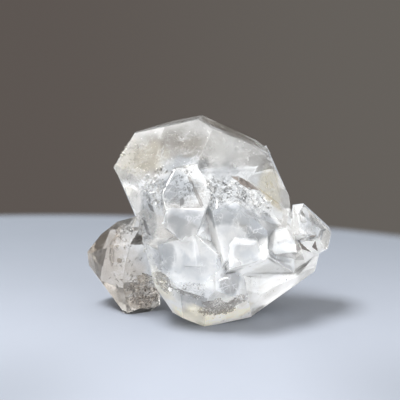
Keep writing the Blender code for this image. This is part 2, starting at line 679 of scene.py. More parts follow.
def inner_marks_group() -> bpy.types.NodeTree:
    """Makes the shared group for what shows just under a quartz face.

    Returns:
        The group, with the input Place and the outputs Cloud, Wisps and Specks, all masks.
    """
    name = "inner marks"
    if name not in bpy.data.node_groups:
        desk, given, out = new_group(name, "Place", "", "Cloud Wisps Specks")
        place = given["Place"]
        soft = desk.noise(place, 230.0, 4.0, Distortion=0.6).outputs["Fac"]
        desk.put(out["Cloud"], desk.ramp(soft, 0.35, 0.65))
        warp = desk.noise(place, 420.0, 3.0).outputs["Color"]
        warped = desk.vector("MULTIPLY_ADD", warp, (2.2 * MM,) * 3, place)
        wisps: object = 0.0
        for scale, width in ((260.0, 0.05), (700.0, 0.07)):
            veins = desk.cells(warped, scale, feature="DISTANCE_TO_EDGE").outputs["Distance"]
            wisps = desk.math("MAXIMUM", wisps, desk.ramp(veins, width, 0.0))
        where = desk.ramp(desk.noise(place, 330.0, 2.0).outputs["Fac"], 0.48, 0.62)
        desk.put(out["Wisps"], desk.math("MULTIPLY", wisps, where))
        spots = desk.ramp(desk.cells(place, 520.0, feature="F1").outputs["Distance"], 0.35, 0.12)
        few = desk.ramp(desk.noise(place, 300.0, 3.0).outputs["Fac"], 0.56, 0.62)
        desk.put(out["Specks"], desk.math("MULTIPLY", spots, few))
    return bpy.data.node_groups[name]


# ---------------------------------------------------------------- the quartz and its tones


class Face(Enum):
    """The kinds of surface on the cluster, in the order of the body's material slots."""

    CLEAR = 0
    MILKY = 1
    # Worn white edges, whose whiteness also stands in for bright edge lines: partly wear, partly painted
    # highlight.
    EDGE = 2
    SUGAR = 3
    GLASSY = 4
    VEILED = 5


# Painted shade: warm grey laid on the quartz where it shows darker, such as the top band and the recess over
# the centre facet.
WARM_PAINTED_SHADE = (
    Patch((-10.5, -4, 41.8), (12.5, 8.5, 8.5), 0.85),
    Patch((-22.5, 1.5, 20), (4, 4, 3), 0.6),
    Patch((15, -4.5, 8.5), (5, 4, 3), 0.4),
    Patch((14.5, 4, 35.5), (5, 5, 6), 0.5),
    Patch((-9.5, -6, 40), (4.5, 3.5, 3), 0.45),
    Patch((12, -6.5, 13.5), (6.5, 6, 4.5), 0.1),
    Patch((20, -3, 13.5), (4.5, 4, 3), 0.15),
    Patch((-18.5, -5, 38), (4, 4, 4), 0.5),
    Patch((9.5, -12.5, 27.5), (5, 4.5, 3), 0.9),
    Patch((16, 3, 31), (4, 4, 7), 0.35),
    Patch((-19.5, 0, 20.5), (4, 4, 3), 0.6),
    Patch((6, 5.5, 46), (19, 6, 5)),
)
# Painted shade: cool grey laid on the quartz where it shows darker.
COOL_PAINTED_SHADE = (
    Patch((-8, -12, 34.5), (6.5, 6, 5.5), 1),
    Patch((-15.5, -0.5, 11.5), (4.5, 4, 7.5), 0.9),
    Patch((12, -11, 25), (5.5, 6, 5), 1),
    Patch((4.5, -9, 33), (9, 5, 3.5), 0.5),
    Patch((5, -3.2, 37), (7, 4, 5), 0.25),
    Patch((-6, -6, 38.9), (8, 4, 3.2), 0.9),
    Patch((3, -4.5, 37), (9, 4, 3), 0.7),
    Patch((2.5, -13, 29), (5, 4, 3.5), 0.9),
    Patch((-11, -13, 18.5), (4.5, 4, 5.5), 0.8),
    Patch((-6, -15.5, 27.4), (5.5, 4, 4), 0.6),
    Patch((6, -14, 23), (4, 4, 5), 0.25),
    Patch((8.5, -11, 28.3), (5, 5, 3.6), 0.9),
    Patch((-2.5, -12.5, 9), (7, 5, 4), 0.5),
    Patch((5, -12.6, 12.5), (4.5, 4, 4.5), 0.8),
    Patch((-15, -8, 26), (3, 4, 10), 0.8),
    Patch((8, -16, 20.5), (4, 3, 3.5), 0.4),
    Patch((-5, -14.7, 16), (6, 3, 5), 0.35),
    Patch((25, -1, 22.5), (5, 5, 4), 0.9),
)
SMOKE = (Patch((-24.5, 4.5, 10), (11.5, 12, 15)),)
CREAM = (
    Patch((-3.5, -9, 2.5), (8, 7, 5), 0.9),
    Patch((-20.5, -2, 41.5), (5, 8, 6), 0.45),
    Patch((15.5, 2, 31), (5, 4.5, 8), 0.9),
    Patch((7.5, -8, 3), (8, 5, 2.5), 0.7),
    Patch((-15.5, -4, 41.5), (7, 6, 6), 0.35),
    Patch((-12, -10, 11), (4, 4, 7), 0.5),
)
STAIN = (
    Patch((-15.5, 1, 3.8), (5, 4, 3.2), 0.85),
    Patch((-26, 4.5, 18), (6, 6, 4.5), 0.3),
    Patch((-16.5, -1, 18.5), (3, 4, 3), 0.1),
    Patch((4.9, -12.6, 12.1), (4, 3, 3.5), 0.3),
    Patch((2, -11.5, 5), (5, 3.5, 3.4), 0.2),
    Patch((6.8, -10.4, 7), (4, 3, 2.2), 0.3),
    Patch((16, 1, 28), (3, 3, 2.5), 0.3),
)
# Painted light: where the milky quartz glows by emission, standing in for light scattered inside it.
GLOW = (
    Patch((9.5, -12.5, 15.5), (6, 4.5, 3), 0.45),
    Patch((12.3, -13.5, 20.1), (2.5, 3, 4), 0.9),
    Patch((24.5, -1.9, 18.3), (4, 3, 3), 0.5),
    Patch((17, -2.5, 7), (10, 7, 6)),
    Patch((6.5, -9, 4.5), (5.5, 5, 4), 0.4),
    Patch((-1, -9.5, 3), (9, 5, 3.5), 0.5),
)
FROST = (
    Patch((-5, -14.5, 18), (9, 6, 9)),
    Patch((5, -15, 24), (8, 6, 8)),
    Patch((10, -13, 17), (8, 8, 7), 0.8),
    Patch((-11, -3, 42.5), (12, 8, 7), 0.35),
    Patch((5, -3, 40), (8, 7, 9), 0.4),
    Patch((10, -7, 30), (9, 7, 5), 0.6),
    Patch((-14, -8, 29), (6, 7, 8), 0.4),
)


@dataclass(frozen=True)
class QuartzFinish:
    """Quartz seen through: how clear it is, its tones and its relief. Its warm and cool greys are painted
    shade, and its glow is painted light.
    """

    name: str
    transmission: float
    clear: Colour = (0.96, 0.955, 0.94)
    shade: Colour = (0.62, 0.60, 0.57)
    # The next two tones are painted shade.
    warm_painted_shade: Colour = (0.24, 0.215, 0.18)
    cool_painted_shade: Colour = (0.36, 0.375, 0.39)
    smoky: Colour = (0.50, 0.425, 0.35)
    cream: Colour = (0.93, 0.85, 0.66)
    stain: Colour = (0.36, 0.30, 0.25)
    fleck: Colour = (0.20, 0.18, 0.16)
    gloss: float = 0.04
    frost: float = 0.40
    swell: float = 0.30 * MM
    lines: float = 0.010 * MM
    grain: float = 0.020 * MM
    steps: float = 0.05 * MM
    mottle: float = 0.35
    specks: float = 0.5
    wisps: float = 0.6
    soak: float = 0.0
    # painted glow: the emission strength in the GLOW patches
    glow: float = 0.0

    def make(self) -> bpy.types.Material:
        """Makes the material.

        Returns:
            The material.
        """
        material, desk, shader, where = new_material(self.name)
        drift = desk.vector("SUBTRACT", desk.noise(where, 260.0, 3.0).outputs["Color"], (0.5, 0.5, 0.5))
        place = desk.vector("MULTIPLY_ADD", drift, (6.0 * MM,) * 3, where)
        tone = self.clear
        # The warm and cool greys are painted shade; SMOKE, CREAM and STAIN are the quartz's own tints.
        for patches, colour in (
            (WARM_PAINTED_SHADE, self.warm_painted_shade), (COOL_PAINTED_SHADE, self.cool_painted_shade), (SMOKE, self.smoky),
            (CREAM, self.cream), (STAIN, self.stain),
        ):
            tone = desk.mix(patch_mask(desk, place, patches), tone, colour)
        marks = desk.add("ShaderNodeGroup", node_tree=inner_marks_group())
        desk.feed(marks, Place=where)
        tone = desk.mix(self.mottle, tone, desk.mix(marks.outputs["Cloud"], self.shade, WHITE), "MULTIPLY")
        tone = desk.mix(desk.math("MULTIPLY", marks.outputs["Specks"], self.specks), tone, self.fleck)
        tone = desk.mix(desk.math("MULTIPLY", marks.outputs["Wisps"], self.wisps), tone, WHITE)
        relief = desk.add("ShaderNodeGroup", node_tree=growth_relief_group())
        desk.feed(relief, Place=where, Swell=self.swell, Lines=self.lines, Grain=self.grain, Steps=self.steps)
        bump = desk.feed(desk.add("ShaderNodeBump"), Height=relief.outputs[0], Strength=0.6, Distance=1.0)
        desk.feed(
            shader,
            Base_Color=tone,
            Roughness=desk.math("MULTIPLY_ADD", patch_mask(desk, place, FROST), self.frost, self.gloss),
            IOR=QUARTZ_IOR,
            Transmission_Weight=self.transmission,
            Subsurface_Weight=1.0 if self.soak else 0.0,
            Subsurface_Radius=(1.0, 1.0, 1.0),
            Subsurface_Scale=self.soak,
            Normal=bump.outputs["Normal"],
        )
        # Painted glow: emission in the GLOW patches, standing in for light scattered inside the milky quartz.
        if self.glow:
            lit = desk.mix(patch_mask(desk, place, GLOW), BLACK, WHITE)
            desk.feed(shader, Emission_Color=lit, Emission_Strength=self.glow)
        return material


# ---------------------------------------------------------------- the crystals


@dataclass(frozen=True)
class Rim:
    """Growth steps round the rim of one facet: which facet, and the steps' width, drop and number, in mm."""

    middle: Point
    width: float
    drop: float
    steps: int = 1


@dataclass
class ClusterBody:
    """The nine joined crystals, with softened edges, small points and sugary, broken patches.

    Its angles are in degrees. A kind of grain has its name, its size in millimetres and its share of
    the grains' depth.
    """

    weld: float = 0.002 * MM
    flatness: float = 0.3
    edge_width: float = 0.14 * MM
    edge_angle: float = 8.0
    melt_width: float = 0.8 * MM
    melted: Patch = Patch((1.5, -14.5, 18.5), (10, 6, 8.5))
    fine_edge: float = 0.34 * MM
    coarse_edge: float = 5.0 * MM
    grain_depth: float = 0.34 * MM
    grain_rest: float = 0.70
    grain_kinds: tuple[tuple[str, float, float], ...] = (("grains", 2.1, 1.0), ("fine grains", 0.9, 0.6))
    sugar_limit: float = 0.30
    seed: int = 7
    point_spread: float = 0.8
    point_sizes: tuple[float, float] = (0.5, 1.25)
    point_cap: float = 0.55 * MM
    point_tip: float = 0.12
    point_lean: float = 0.45
    point_root: float = 0.35
    finishes: dict[Face, QuartzFinish] = field(
        default_factory=lambda: {
            Face.CLEAR: QuartzFinish("clear quartz", 0.80, mottle=0.12, specks=0.2),
            Face.GLASSY: QuartzFinish("glassy quartz", 0.94, wisps=0.4, specks=0.3),
            Face.VEILED: QuartzFinish(
                "veiled quartz", 0.42, clear=(1.0, 1.0, 0.99), gloss=0.30, mottle=0.45, soak=2.0 * MM,
                glow=0.34, grain=0.05 * MM, steps=0.14 * MM, swell=0.45 * MM,
            ),
            Face.MILKY: QuartzFinish(
                "milky quartz", 0.60, clear=(0.99, 0.99, 0.985), shade=(0.66, 0.69, 0.73), mottle=0.7,
                soak=1.5 * MM, glow=0.30,
            ),
            Face.EDGE: QuartzFinish("worn edges with painted highlights", 0.40, clear=WHITE, gloss=0.25, mottle=0.1),
            Face.SUGAR: QuartzFinish(
                "sugary quartz", 0.85, clear=(0.98, 0.98, 0.97), gloss=0.05, frost=0.1, mottle=0.2,
                specks=0.05,
            ),
        }
    )
    facet_patches: tuple[tuple[Face, Patch], ...] = (
        (Face.VEILED, Patch((13.9, -1.9, 3.8), (2, 2, 2))),
        (Face.VEILED, Patch((11.8, -13.9, 20.1), (1.5, 1.5, 1.5))),
        (Face.VEILED, Patch((24.5, -1.9, 18.3), (1.5, 1.5, 1.5))),
        (Face.VEILED, Patch((10.5, -6.2, 6.1), (2, 2, 2))),
        (Face.VEILED, Patch((18.3, 4.5, 4.7), (2, 2, 2))),
        (Face.VEILED, Patch((19.8, -2.9, 13.5), (2, 2, 2))),
        (Face.CLEAR, Patch((16.7, 4.3, 31.9), (2, 2, 2))),
        (Face.VEILED, Patch((13.1, -9.3, 14.5), (2, 2, 2))),
        (Face.VEILED, Patch((8, -14.4, 16.6), (2, 2, 2))),
        (Face.VEILED, Patch((1, -14, 24.3), (2, 2, 2))),
        (Face.VEILED, Patch((3.8, -10, 4.5), (2, 2, 2))),
        (Face.MILKY, Patch((-3.9, -11.6, 5.5), (2, 2, 2))),
        (Face.CLEAR, Patch((-20.4, 0.5, 20.5), (2, 2, 2))),
        (Face.VEILED, Patch((-15.1, -5.2, 15.6), (2, 2, 2))),
        (Face.VEILED, Patch((-10.3, -10.1, 9), (2, 2, 2))),
        (Face.MILKY, Patch((1, -15, 21), (11, 5, 10))),
        (Face.MILKY, Patch((17, -9.5, 20), (3.5, 3.5, 4.5))),
        (Face.GLASSY, Patch((4, 8, 47.5), (18, 5.5, 5))),
        (Face.GLASSY, Patch((15.5, 6, 36), (4, 4, 7))),
        (Face.GLASSY, Patch((25.5, 3, 20), (5.5, 9, 8))),
        (Face.GLASSY, Patch((-22.5, 5, 11), (9.5, 12, 13))),
    )
    sugar_patches: tuple[Patch, ...] = (
        Patch((4.5, -8.5, 33), (8, 5, 3.5)),
        Patch((12, -5.5, 29.5), (5, 5, 3), 0.7),
        Patch((-12.5, -8.5, 34), (4, 4, 4.5)),
        Patch((-20.5, -2, 41.5), (4, 7, 5.5), 0.9),
        Patch((-15.5, -6, 22.5), (2.5, 4, 5), 0.6),
        Patch((-11, -11, 12.5), (2.5, 3, 5), 0.6),
        Patch((-16.5, 1.5, 4.5), (4, 3, 3.5), 0.8),
        Patch((-22, 1.5, 21), (3, 3, 2.5), 0.8),
        Patch((23, -4.5, 20), (2, 2.5, 1.5), 0.5),
        Patch((2, -11, 5.2), (6.5, 3.5, 3.2), 0.34),
        Patch((-3.5, -13.3, 10.5), (6, 3.5, 2.4), 0.34),
        Patch((6.6, -10.6, 7), (4, 3.5, 2.3), 0.34),
        Patch((0.2, -12.6, 7.6), (3.4, 3.5, 2.2), 0.34),
    )
    point_counts: tuple[int, ...] = (34, 16, 20, 3, 6, 6, 8, 8, 4, 3, 3)
    rims: tuple[Rim, ...] = (
        Rim((-7.8, -11.6, 36), 0.30, -0.06),
        Rim((-2.3, -12.2, 35.1), 0.28, 0.06),
        Rim((-6, -15.5, 27.4), 0.35, 0.08),
        Rim((7.8, -16.5, 20.3), 0.40, 0.10, 2),
        Rim((16.5, -9, 18.1), 0.35, -0.10, 3),
        Rim((16.6, -10.5, 21.2), 0.22, -0.08, 2),
        Rim((-5, -14.5, 16.2), 0.25, 0.06),
        Rim((4.9, -12.6, 12.1), 0.30, -0.12),
        Rim((4.2, -2.9, 39.6), 0.22, 0.04),
        Rim((13.9, -1.9, 3.8), 0.40, -0.08, 2),
        Rim((19.8, -2.9, 13.5), 0.35, 0.06, 2),
        Rim((12.3, -9.8, 14.7), 0.35, -0.06, 2),
        Rim((13, 0.8, 31.2), 0.25, -0.05),
        Rim((23.1, -3.6, 23.4), 0.30, 0.08, 2),
        Rim((-17.3, 0.3, 9.1), 0.25, -0.05),
        Rim((0.1, 13, 39.3), 0.35, 0.06, 2),
        Rim((4.9, 15.1, 25.7), 0.35, -0.06, 2),
        Rim((-1.8, 12.7, 19.2), 0.30, 0.06),
        Rim((-18.3, 13.5, 10.9), 0.30, 0.05),
    )

    def share(self, place: Vector) -> float:
        """Says how sugary a place is.

        Args:
            place: the place, in metres.

        Returns:
            0 where the crystals are smooth, up to 1 where they are all sugar.
        """
        ragged = raggedness(place)
        share = max(patch.share(place, ragged) for patch in self.sugar_patches)
        return share if BARE_SPOT.share(place) == 0.0 else 0.0

    def copy_solid(self) -> Piece:
        """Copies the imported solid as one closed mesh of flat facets.

        Returns:
            The copy.
        """
        deselect_all()
        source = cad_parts[CAD_NODE]
        body = source.copy()
        body.data = source.data.copy()
        for key in list(body.keys()):
            del body[key]
        body.name = "cluster_body"
        body.parent = None
        bpy.context.scene.collection.objects.link(body)
        start_editing(body, "VERT")
        bpy.ops.mesh.select_all(action="SELECT")
        bpy.ops.mesh.remove_doubles(threshold=self.weld)
        bpy.ops.mesh.dissolve_limited(angle_limit=math.radians(self.flatness))
        bpy.ops.object.mode_set(mode="OBJECT")
        return body

    def dress(self, body: Piece) -> None:
        """Gives each facet its finish.

        Args:
            body: the cluster.
        """
        body.data.materials.clear()
        for face in Face:
            body.data.materials.append(self.finishes[face].make())
        for facet in body.data.polygons:
            inside = [face for face, patch in self.facet_patches if patch.share(facet.center) > 0.0]
            facet.material_index = (inside[0] if inside else Face.CLEAR).value

    def melt_edges(self, body: Piece) -> None:
        """Rounds the edges of the milky middle, where the facets run into each other.

        Args:
            body: the cluster.
        """
        start_editing(body, "EDGE")
        bpy.ops.mesh.select_all(action="DESELECT")
        pick(body, "edges", lambda edge: self.melted.share(middle_of(edge)) > 0.0)
        bpy.ops.mesh.bevel(offset=self.melt_width, segments=3, affect="EDGES", clamp_overlap=True)
        bpy.ops.object.mode_set(mode="OBJECT")

    def soften_edges(self, body: Piece) -> None:
        """Wears the facets' edges a little, and gives the bevels the white edge finish, which is partly wear
        and partly painted highlight.

        Args:
            body: the cluster.
        """
        bevel = body.modifiers.new("edges", "BEVEL")
        bevel.width = self.edge_width
        bevel.segments = 1
        bevel.limit_method = "ANGLE"
        bevel.angle_limit = math.radians(self.edge_angle)
        bevel.material = Face.EDGE.value
        make_active(body)
        bpy.ops.object.modifier_apply(modifier="edges")

    def step_rims(self, body: Piece) -> None:
        """Steps the rims of the broad facets, as quartz grows layer on layer.

        Args:
            body: the cluster.
        """
        start_editing(body, "FACE")
        for rim in self.rims:
            bpy.ops.mesh.select_all(action="DESELECT")
            mesh = bmesh.from_edit_mesh(body.data)
            middle = Vector(rim.middle) * MM
            facet = min(mesh.faces, key=lambda face: (face.calc_center_median() - middle).length)
            facet.select_set(True)
            bmesh.update_edit_mesh(body.data)
            for _ in range(rim.steps):
                bpy.ops.mesh.inset(thickness=rim.width * MM, depth=rim.drop * MM)
        bpy.ops.object.mode_set(mode="OBJECT")

    def make_point(self) -> Piece:
        """Models one small six-sided quartz point, a millimetre across.

        Returns:
            The point, with its shaft round the origin.
        """
        deselect_all()
        bpy.ops.mesh.primitive_cylinder_add(vertices=6, radius=0.5 * MM, depth=1.0 * MM, location=(0, 0, 0))
        point = bpy.context.object
        start_editing(point, "FACE")
        pick(point, "faces", lambda face: face.normal.z > 0.9)
        bpy.ops.mesh.extrude_region_move(TRANSFORM_OT_translate={"value": (0, 0, self.point_cap)})
        bpy.ops.transform.resize(value=(self.point_tip, self.point_tip, 1.0))
        bpy.ops.object.mode_set(mode="OBJECT")
        return point

    def grow_points(self, body: Piece) -> None:
        """Grows small quartz points out of the sugary patches and joins them to the body.

        Args:
            body: the cluster.
        """
        draw = random.Random(self.seed)
        pattern = self.make_point()
        made = []
        for patch, count in zip(self.sugar_patches, self.point_counts):
            for _ in range(count):
                found, spot, normal, _ = body.closest_point_on_mesh(patch.any_place(draw, self.point_spread))
                if not found:
                    continue
                size = draw.uniform(*self.point_sizes)
                turn = turn_to(normal + any_lean(draw, self.point_lean))
                spin = any_spin(draw)
                deep, long = draw.uniform(0.7, 1.0), draw.uniform(0.7, 1.3)
                stretch = Matrix.Diagonal((size, size * deep, size * long, 1.0))
                root = Matrix.Translation(spot - normal * self.point_root * size * MM)
                made.append(copy_part(pattern, root @ turn @ spin @ stretch))
        bpy.data.objects.remove(pattern)
        points = join_parts(made, "points", *body.data.materials)
        for facet in points.data.polygons:
            facet.material_index = Face.SUGAR.value
        make_active(body)
        union = body.modifiers.new("points", "BOOLEAN")
        union.operation = "UNION"
        union.solver = "EXACT"
        union.use_self = True
        union.object = points
        bpy.ops.object.modifier_apply(modifier="points")
        bpy.data.objects.remove(points)

    def refine(self, body: Piece) -> None:
        """Cuts the facets into small triangles where they are sugary.

        Args:
            body: the cluster.
        """

        def limit(place: Vector) -> float:
            """Gives the longest edge that is left round a place."""
            return self.fine_edge if self.share(place) > 0.0 else self.coarse_edge

        start_editing(body, "EDGE")
        cut_small(body, limit, 8, even=True)
        bpy.ops.object.mode_set(mode="OBJECT")

    def roughen(self, body: Piece) -> None:
        """Breaks the sugary patches into grains.

        Args:
            body: the cluster.
        """
        group = body.vertex_groups.new(name="sugar")
        for vertex in body.data.vertices:
            share = self.share(vertex.co)
            if share > 0.0:
                group.add([vertex.index], share, "REPLACE")
        for name, size, depth in self.grain_kinds:
            texture = new_texture(name, "VORONOI", size * MM)
            texture.distance_metric = "MANHATTAN"
            travel = self.grain_depth * depth
            displace(body, texture, travel, vertex_group=group.name, mid_level=self.grain_rest)
        for facet in body.data.polygons:
            if self.share(facet.center) > self.sugar_limit:
                facet.material_index = Face.SUGAR.value

    def build(self) -> Piece:
        """Makes the cluster's visible body.

        Returns:
            The body.
        """
        body = self.copy_solid()
        self.dress(body)
        self.melt_edges(body)
        self.soften_edges(body)
        self.step_rims(body)
        self.grow_points(body)
        self.refine(body)
        self.roughen(body)
        make_active(body)
        bpy.ops.object.shade_flat()
        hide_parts(CAD_NODE)
        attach(body, BODY)
        return body


# ---------------------------------------------------------------- what is sealed in the quartz


@dataclass(frozen=True)
class Film:
    """One healed crack inside the crystals: where it is, how wide and which way it faces, in millimetres."""

    middle: Point
    facing: Point
    width: float
    height: float
    spin: float = 0.0


@dataclass
class Cracks:
    """Thin films of air sealed in the quartz, which flash white or dark.

    Their lumps, bends and crackles each have a size and a travel.
    """

    thickness: float = 0.035
    seed: int = 21
    lumps: tuple[float, float] = (0.35 * MM, 0.9 * MM)
    bends: tuple[float, float] = (1.6 * MM, 0.7 * MM)
    crackles: tuple[float, float] = (0.22 * MM, 0.10 * MM)
    films: tuple[Film, ...] = (
        Film((-12, -3.5, 41), (-0.6, -0.6, 0.5), 4.5, 1.2, 0.5),
        Film((-8, 1.5, 44.5), (0.7, -0.5, 0.4), 5, 1.6, 0.8),
        Film((13, 3, 29.5), (0.3, -0.9, 0.4), 4.5, 1.6, 0.3),
        Film((15, 2.5, 27.5), (0.5, -0.7, 0.5), 3.5, 2.2, 1),
        Film((-15.5, 3, 6.5), (0.3, -0.8, 0.5), 6, 3.5, 0.1),
        Film((-17, 4, 8.5), (-0.3, -0.6, 0.7), 5, 3, 0.9),
        Film((-14.5, 4, 5), (0.1, -0.5, 0.85), 5, 3, 0),
        Film((-23.5, 5.5, 14), (0.6, -0.7, 0.3), 5, 2.5, 0.4),
        Film((2.5, -8, 8), (0.3, -0.6, 0.7), 6, 3, 0.2),
        Film((-3.5, -7, 5.5), (-0.2, -0.6, 0.75), 5, 3, 0.6),
        Film((7, -8, 10), (0.4, -0.8, 0.4), 5, 3.5, 0.4),
        Film((-5, -9, 31), (0, -0.8, 0.6), 6.5, 3.5, 1.1),
        Film((24, 0.5, 20.5), (0.2, -0.7, 0.7), 3.5, 2.5, 0.7),
        Film((25.5, 1.5, 22.5), (-0.4, -0.7, 0.5), 3, 2, 0.2),
        Film((18, -4, 12), (0.3, -0.9, 0.2), 5, 3, 0.5),
    )

    def make_lens(self) -> Piece:
        """Models one crack: a flat, crumpled pod two millimetres across.

        Returns:
            The crack, on the origin.
        """
        deselect_all()
        bpy.ops.mesh.primitive_ico_sphere_add(subdivisions=4, radius=1.0 * MM, location=(0, 0, 0))
        lens = bpy.context.object
        displace(lens, new_texture("crack outline", "CLOUDS", self.lumps[0]), self.lumps[1])
        start_editing(lens, "VERT")
        bpy.ops.mesh.select_all(action="SELECT")
        bpy.ops.transform.resize(value=(1.0, 1.0, self.thickness))
        bpy.ops.object.mode_set(mode="OBJECT")
        for name, kind, (size, travel) in (
            ("crack bend", "CLOUDS", self.bends), ("crackle", "VORONOI", self.crackles)
        ):
            displace(lens, new_texture(name, kind, size), travel, direction="Z")
        bpy.ops.object.shade_flat()
        return lens

    def build(self) -> Piece:
        """Lays the cracks in the quartz.

        Returns:
            The piece that holds them all.
        """
        draw = random.Random(self.seed)
        pattern = self.make_lens()
        made = []
        for film in self.films:
            spin = Matrix.Rotation(film.spin * math.pi, 4, "Z")
            stretch = Matrix.Diagonal((film.width / 2, film.height / 2, draw.uniform(0.8, 1.2), 1.0))
            place = Matrix.Translation(Vector(film.middle) * MM)
            made.append(copy_part(pattern, place @ turn_to(Vector(film.facing)) @ spin @ stretch))
        bpy.data.objects.remove(pattern)
        material, desk, shader, _ = new_material("air film")
        desk.feed(shader, Base_Color=WHITE, Roughness=0.03, IOR=1 / QUARTZ_IOR, Transmission_Weight=1.0)
        return join_pieces(made, "sealed_cracks", material)


class Tone(Enum):
    """What a vein or a flake is: trapped air, white bruised quartz, a dark pane of painted shade or dark
    carbon.
    """

    AIR = "air"
    WHITE = "white"
    # Dark panes of painted shade and painted dark reflection.
    SMOKY = "smoky"
    CARBON = "carbon"


@dataclass(frozen=True)
class SealedFinish:
    """What is sealed in the quartz: its two tones, how they stripe and how clear it is."""

    name: str
    light: Colour
    dark: Colour
    gloss: float
    transmission: float
    ior: float = 1.45
    stripe: float = 900.0

    def make(self) -> bpy.types.Material:
        """Makes the material.

        Returns:
            The material.
        """
        material, desk, shader, where = new_material(self.name)
        turn = desk.feed(desk.add("ShaderNodeMapping"), Vector=where, Rotation=(0.5, 0.9, 0.3))
        waves = desk.add("ShaderNodeTexWave")
        desk.feed(waves, Vector=turn.outputs[0], Scale=self.stripe, Distortion=4.0, Detail=3.0)
        cloud = desk.noise(where, 700.0, 3.0).outputs["Fac"]
        mask = desk.math("MULTIPLY", waves.outputs["Fac"], desk.ramp(cloud, 0.35, 0.60))
        desk.feed(
            shader,
            Base_Color=desk.mix(mask, self.light, self.dark),
            Roughness=desk.math("MULTIPLY_ADD", cloud, self.gloss, self.gloss),
            IOR=self.ior,
            Transmission_Weight=self.transmission,
        )
        return material


SEALED = {
    Tone.AIR: SealedFinish("air flakes", WHITE, (0.93, 0.94, 0.95), 0.03, 1.0, 1 / QUARTZ_IOR),
    Tone.WHITE: SealedFinish("bruised quartz", (0.98, 0.98, 0.98), (0.72, 0.73, 0.75), 0.25, 0.0),
    # Painted shade: dark panes laid in recesses, in grooves and where dark reflections show.
    Tone.SMOKY: SealedFinish("dark pane of painted shade", (0.27, 0.235, 0.215), (0.1, 0.088, 0.08), 0.05, 0.45, 1.45, 260.0),
    Tone.CARBON: SealedFinish("carbon flecks", (0.12, 0.11, 0.10), (0.03, 0.03, 0.03), 0.3, 0.0),
}


SIGHT_LINES = (Vector((0.23, -0.41, 0.88)), Vector((-0.52, 0.37, -0.77)))
SIGHT_STEP = 0.001 * MM


def skin_of(body: Piece) -> BVHTree:
    """Gives the body's surface in a form that finds its nearest point fast."""
    return BVHTree.FromPolygons([v.co for v in body.data.vertices], [f.vertices for f in body.data.polygons])


def is_sealed(skin: BVHTree, place: Vector) -> bool:
    """Says whether a place is inside the crystals.

    Args:
        skin: the crystals' skin.
        place: the place.

    Returns:
        True where two lines out of the place both cross the skin an odd number of times.
    """
    for way in SIGHT_LINES:
        crossings = 0
        spot = skin.ray_cast(place, way)[0]
        while spot is not None:
            crossings += 1
            spot = skin.ray_cast(spot + way * SIGHT_STEP, way)[0]
        if crossings % 2 == 0:
            return False
    return True


def is_held(skin: BVHTree, placing: Matrix, slack: float) -> bool:
    """Says whether a flat part is held by the crystals.

    Args:
        skin: the crystals' skin.
        placing: the part's placing, from a pattern a millimetre across.
        slack: how far its ends may stand out, in metres.

    Returns:
        True where its middle is inside and neither end stands out further.
    """
    if not is_sealed(skin, placing.translation):
        return False
    ends = [placing @ Vector((side * 0.5 * MM, 0.0, 0.0)) for side in (-1, 1)]
    return all(is_sealed(skin, end) or skin.find_nearest(end)[3] < slack for end in ends)


@dataclass(frozen=True)
class Vein:
    """A thin sheet that follows the surface: what it is, its corners in millimetres and how deep it lies."""

    tone: Tone
    corners: tuple[Point, ...]
    depth: float = 0.15


